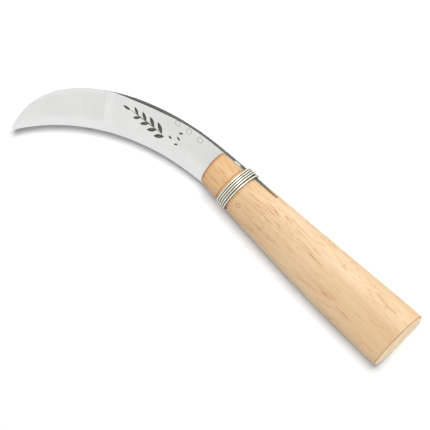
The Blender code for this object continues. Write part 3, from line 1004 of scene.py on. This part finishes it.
def face_finish():
    """Cloudy brushed steel with a dull patch, a bright streak before it, the stamps and a strip of scale."""
    tree, shader, strip = steel(FACE, 0.42)
    s, v, from_back = add(tree, "ShaderNodeSeparateXYZ", {0: strip}).outputs
    cloud = noise(tree, strip, (60, 130, 0), 3)
    colour = mix(tree, mask(tree, cloud, 0.3, 0.7), CLOUD_DARK, CLOUD_LIGHT)
    towards_neck = times(tree, mask(tree, s, 0.066, 0.030), mask(tree, v, 0.007, 0.013, 0, 0.55))
    colour = mix(tree, towards_neck, colour, NECK_GREY)
    wander = calc(tree, "MULTIPLY_ADD", noise(tree, strip, (0, 300, 0), 2), 0.0022, s)
    patch = times(
        tree, mask(tree, wander, 0.0735, 0.0748), mask(tree, wander, 0.118, 0.108),
        mask(tree, from_back, 0.0012, 0.0026), mask(tree, v, 0.0045, 0.0065))
    colour = mix(tree, times(tree, patch, 0.22), colour, PATCH_GREY)
    streak = times(tree, mask(tree, wander, 0.0690, 0.0705), mask(tree, wander, 0.0746, 0.0736))
    colour = mix(tree, times(tree, streak, 0.30), colour, STREAK_BRIGHT)
    brushed = noise(tree, strip, (2600, 60, 0), 3, 0.6)
    colour = mix(tree, mask(tree, brushed, 0.3, 0.75, 0, 0.22), colour, BRUSH_GREY)
    etched = union(tree, sprig(tree, strip), small_stamps(tree, strip))
    worn = mask(tree, noise(tree, strip, (900, 900, 0), 2), 0.25, 0.5, 0.75, 1.0)
    etched = times(tree, etched, worn)
    rings = times(tree, punched_rings(tree, strip), 0.42)
    dark = union(tree, times(tree, etched, 0.97), rings)
    reach = times(tree, mask(tree, s, 0.022, 0.046, 0.15, 1), mask(tree, s, 0.073, 0.054))
    ragged = calc(tree, "MULTIPLY_ADD", noise(tree, strip, (260, 400, 0), 3), 0.0004, from_back)
    left_on = calc(tree, "SUBTRACT", times(tree, reach, 0.00095), ragged)
    dark = union(tree, dark, mask(tree, left_on, -0.0003, -0.0001, 0, 0.95))
    colour = mix(tree, dark, colour, ETCH_DARK)
    tree.links.new(colour, shader.inputs["Base Color"])
    tree.links.new(mask(tree, dark, 0, 1, 0.42, 0.62), shader.inputs["Roughness"])
    relief = calc(tree, "MULTIPLY_ADD", dark, -1.0, times(tree, brushed, 0.25))
    bump(tree, shader, relief, 0.00004, 0.7)


def bevel_finish():
    """Bright fine lines along the edge, and dark steel inside the wood."""
    tree, shader, strip = steel(BEVEL, 0.42)
    s, _, _ = add(tree, "ShaderNodeSeparateXYZ", {0: strip}).outputs
    lines = noise(tree, strip, (70, 5200, 0), 3, 0.6)
    colour = mix(tree, mask(tree, lines, 0.3, 0.7), HONED_DARK, HONED_LIGHT)
    colour = mix(tree, mask(tree, s, 0.0046, 0.0030), colour, INSIDE_WOOD)
    tree.links.new(colour, shader.inputs["Base Color"])
    bump(tree, shader, lines, 0.00002, 0.4)


def flat_finish():
    """Stone lines along the blade over cloudy steel."""
    tree, shader, strip = steel(FLAT, 0.36)
    lines = noise(tree, strip, (90, 3600, 0), 3, 0.6)
    cloud = noise(tree, strip, (50, 120, 0), 3, offset=(5, 2, 0))
    colour = mix(tree, mask(tree, cloud, 0.3, 0.7), STONED_DARK, STONED_LIGHT)
    colour = mix(tree, mask(tree, lines, 0.35, 0.7, 0, 0.3), colour, STONE_LINE)
    tree.links.new(colour, shader.inputs["Base Color"])
    bump(tree, shader, lines, 0.00003, 0.5)


def scale_finish():
    """Black crust, gone where the spine was ground bare and in a notch between the wire and the mouth."""
    tree, shader, strip = steel(SCALE, 0.5)
    s, _, _ = add(tree, "ShaderNodeSeparateXYZ", {0: strip}).outputs
    place = add(tree, "ShaderNodeTexCoord").outputs["Object"]
    _, _, z = add(tree, "ShaderNodeSeparateXYZ", {0: place}).outputs
    crust = noise(tree, place, (700, 700, 900), 4, 0.65)
    colour = mix(tree, mask(tree, crust, 0.3, 0.7), SCALE_DARK, SCALE_LIGHT)
    ragged = calc(tree, "MULTIPLY_ADD", crust, 0.008, s)
    ground = mask(tree, ragged, 0.068, 0.082)
    notch = times(
        tree, mask(tree, s, -0.0048, -0.0036), mask(tree, s, 0.0002, -0.0012, 0, 0.8),
        mask(tree, z, -0.0002, 0.0003))
    bare = union(tree, ground, notch)
    colour = mix(tree, bare, colour, BARE_SPINE)
    tree.links.new(colour, shader.inputs["Base Color"])
    tree.links.new(bare, shader.inputs["Metallic"])
    tree.links.new(mask(tree, bare, 0, 1, 0.62, 0.36), shader.inputs["Roughness"])
    bump(tree, shader, crust, 0.00012, 0.5)


for finish in (flat_finish, scale_finish, face_finish, bevel_finish):
    finish()
print("steel finishes:", [slot.name for slot in blade.data.materials])

# %% [markdown]
# ## Joining the pieces to the imported model
#
# The tool has no moving part, so all four pieces ride on the one body. Each stands for its imported node,
# which is then not shown.

# %% Ride and replace
for piece, node, slot in (
        (blade, "blade", "forged_steel"), (handle, "handle", "handle_wood"),
        (wire, "wire_binding", "binding_wire"), (peg, "tang_peg", "peg_wood")):
    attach(piece, "root")
    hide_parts(node)
    print(piece.name, "stands for", node)

# %% [markdown]
# ## Floor, light and camera
#
# The sickle lies on a plain white floor under one soft lamp at the back side of the tool, so its shadow
# falls in front of the cutting edge. A weak world keeps that shadow dark close to the tool. Two large, low
# fills, one before the edge and one behind the butt, light the sides without washing the shadow out,
# because light that comes in low hardly reaches a floor. Bright steel is only as bright as what it
# mirrors, so a white tent stands over the whole table. It shows in reflections and as the backdrop, and
# adds nothing to the light on the floor. The front fill is kept out of reflections, or the bevel would
# show it as one white band.

# %% Floor and world
FLOOR_GAP = 0.02 * MM
FLOOR_REACH = 3.0
WORLD_STRENGTH = 0.075


def stage_mesh(name, points, faces):
    """A mesh object for the surroundings of the tool."""
    mesh = bpy.data.meshes.new(name)
    mesh.from_pydata(points, [], faces)
    made = bpy.data.objects.new(name, mesh)
    bpy.context.scene.collection.objects.link(made)
    return made


floor_z = float(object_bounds()[0].z) - FLOOR_GAP
corners = [(x * FLOOR_REACH, y * FLOOR_REACH, floor_z) for x, y in ((-1, -1), (1, -1), (1, 1), (-1, 1))]
floor = stage_mesh("floor", corners, [(0, 1, 2, 3)])
floor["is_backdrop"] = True
paper, tree, shader = new_finish("white paper")
place = add(tree, "ShaderNodeTexCoord").outputs["Object"]
fibre = noise(tree, place, (900, 900, 900), 2)
tree.links.new(mix(tree, fibre, (0.88, 0.88, 0.88), (0.90, 0.90, 0.90)), shader.inputs["Base Color"])
shader.inputs["Roughness"].default_value = 0.9
shader.inputs["Specular IOR Level"].default_value = 0.1
floor.data.materials.append(paper)

world = bpy.data.worlds.new("studio")
world.use_nodes = True
sky = world.node_tree.nodes["Background"]
sky.inputs["Color"].default_value = (1.0, 1.0, 1.0, 1.0)
sky.inputs["Strength"].default_value = WORLD_STRENGTH
bpy.context.scene.world = world
bpy.context.scene.view_settings.view_transform = "Standard"
print("floor at z =", round(floor_z / MM, 2), "mm")

# %% The white tent
TENT_RADIUS = 2.8
TENT_GLOW = 0.92
TENT_ROWS, TENT_COLUMNS = 24, 48
TENT_SKIRT = -0.02      # radians below the horizon, so that the rim hides under the floor


def tent_points(rows, columns):
    """A half globe: radius times (cosine up by cosine and sine round, sine up)."""
    up = np.linspace(TENT_SKIRT, pi / 2, rows)[:, None]
    round_it = np.linspace(0, 2 * pi, columns, endpoint=False)[None, :]
    flat = np.cos(up)
    x, y, z = np.broadcast_arrays(flat * np.cos(round_it), flat * np.sin(round_it), np.sin(up))
    return TENT_RADIUS * np.stack([x, y, z], axis=-1).reshape(-1, 3)


tent = stage_mesh(
    "white tent", tent_points(TENT_ROWS, TENT_COLUMNS).tolist(), grid_quads(TENT_ROWS, TENT_COLUMNS).tolist())
tent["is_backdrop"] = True
cloth, tree, shader = new_finish("white tent")
shader.inputs["Base Color"].default_value = (0, 0, 0, 1)
shader.inputs["Specular IOR Level"].default_value = 0
shader.inputs["Emission Color"].default_value = (1, 1, 1, 1)
shader.inputs["Emission Strength"].default_value = TENT_GLOW
tent.data.materials.append(cloth)
tent.visible_diffuse = False
tent.visible_shadow = False
print("tent of", TENT_RADIUS, "m radius")

# %% Lamps and camera
MIDDLE = Vector((0.116, 0.020, 0.0))       # about the middle of the tool, on its middle plane


def lamp(name, direction, distance, size, watts):
    """A square area lamp that looks at the middle of the tool from that direction."""
    light = bpy.data.lights.new(name, "AREA")
    light.size = size
    light.energy = watts
    made = bpy.data.objects.new(name, light)
    made.location = MIDDLE + Vector(direction).normalized() * distance
    made.rotation_euler = (made.location - MIDDLE).to_track_quat("Z", "Y").to_euler()
    bpy.context.scene.collection.objects.link(made)
    return made


lamp("soft lamp", (-0.10, -0.75, 0.97), 1.5, 0.61, 30.4)
lamp("front fill", (0.05, 0.93, 0.18), 1.0, 0.9, 4.0).visible_glossy = False
lamp("end fill", (-0.85, 0.45, 0.20), 1.0, 0.9, 6.5)

CAMERA_PLACE = Vector((-0.150, -0.390, 0.865))
CAMERA_AIM = Vector((0.1163, 0.01964, 0.0))
CAMERA_ROLL = radians(-106.78)


def camera_axes():
    """Right, up and back of a camera that looks at the aim and is rolled about its own line of sight."""
    ahead = (CAMERA_AIM - CAMERA_PLACE).normalized()
    level = ahead.cross(Vector((0, 0, 1))).normalized()
    upright = level.cross(ahead)
    right = cos(CAMERA_ROLL) * level + sin(CAMERA_ROLL) * upright
    up = -sin(CAMERA_ROLL) * level + cos(CAMERA_ROLL) * upright
    return right, up, -ahead


lens = bpy.data.cameras.new("camera")
lens.lens = 160
lens.sensor_width = 36
lens.clip_start = 0.01
camera = bpy.data.objects.new("camera", lens)
stance = Matrix(camera_axes()).transposed().to_4x4()
camera.matrix_world = Matrix.Translation(CAMERA_PLACE) @ stance
bpy.context.scene.collection.objects.link(camera)
bpy.context.scene.camera = camera
print("camera distance:", round((CAMERA_AIM - CAMERA_PLACE).length, 3), "m")

# %% Measure and finish
low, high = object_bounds()
for name, start, end in (("packed", cad_low, cad_high), ("finished", low, high)):
    print(name, "size in mm:", [round((b - a) / MM, 2) for a, b in zip(start, end)])
